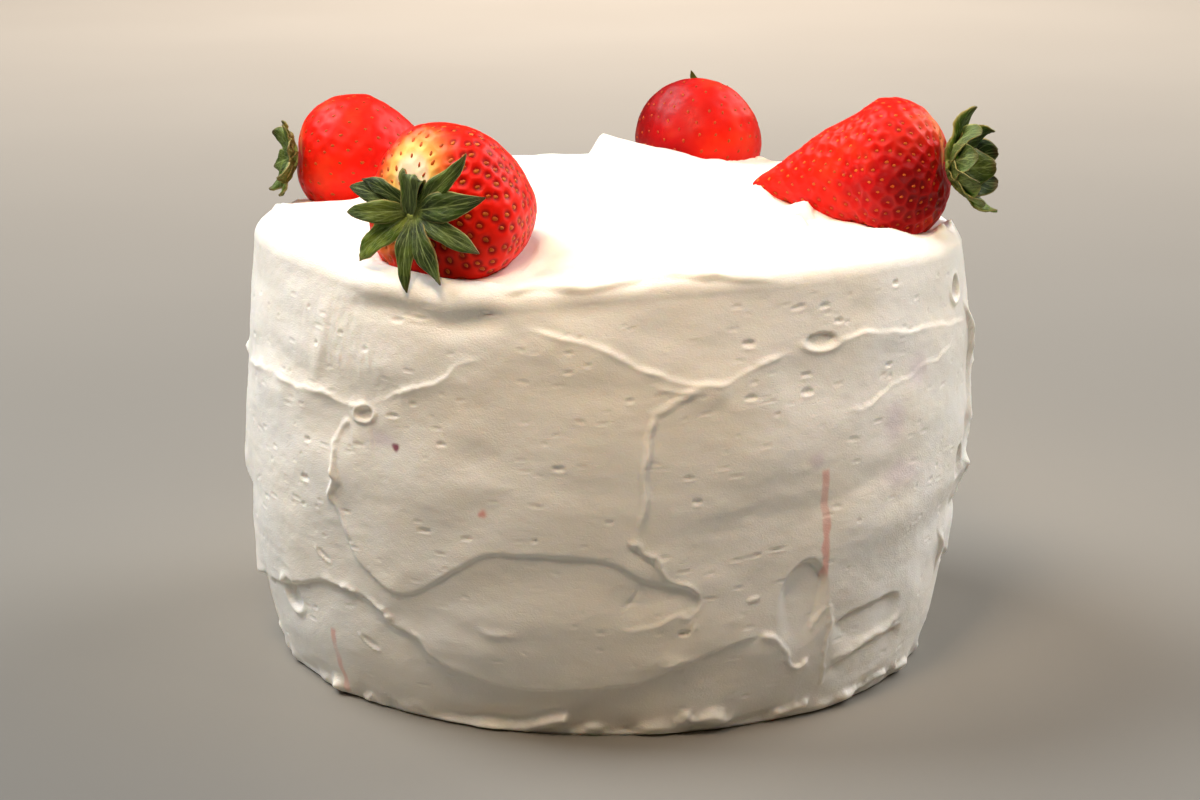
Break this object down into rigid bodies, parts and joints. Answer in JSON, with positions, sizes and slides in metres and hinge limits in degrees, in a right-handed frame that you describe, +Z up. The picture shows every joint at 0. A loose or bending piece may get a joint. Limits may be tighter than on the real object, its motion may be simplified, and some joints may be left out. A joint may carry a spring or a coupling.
{
  "type": "strawberry cream layer cake",
  "caption": "Tall round cake coated in whipped cream smoothed with a spatula, with whole strawberries lying on its top, leafy caps outwards.",
  "frame": {"origin": "centre of the cake's flat base, on the surface that it stands on", "axes": "+Z up along the cake's axis, -Y towards its front, +X to its right seen from the front"},
  "size_m": [0.1739, 0.1718, 0.1297],
  "materials": {
    "cream": "moist whipped cream, satin",
    "strawberry": "glossy ripe fruit skin with golden achenes",
    "leaf": "soft hairy leaf"
  },
  "bodies": {
    "root": {"frosted_cake": "cream", "strawberry_front_left": "strawberry", "strawberry_right": "strawberry", "strawberry_back_left": "strawberry", "strawberry_back_right": "strawberry", "calyx_front_left": "leaf", "calyx_right": "leaf", "calyx_back_left": "leaf", "calyx_back_right": "leaf"}
  },
  "joints": []
}
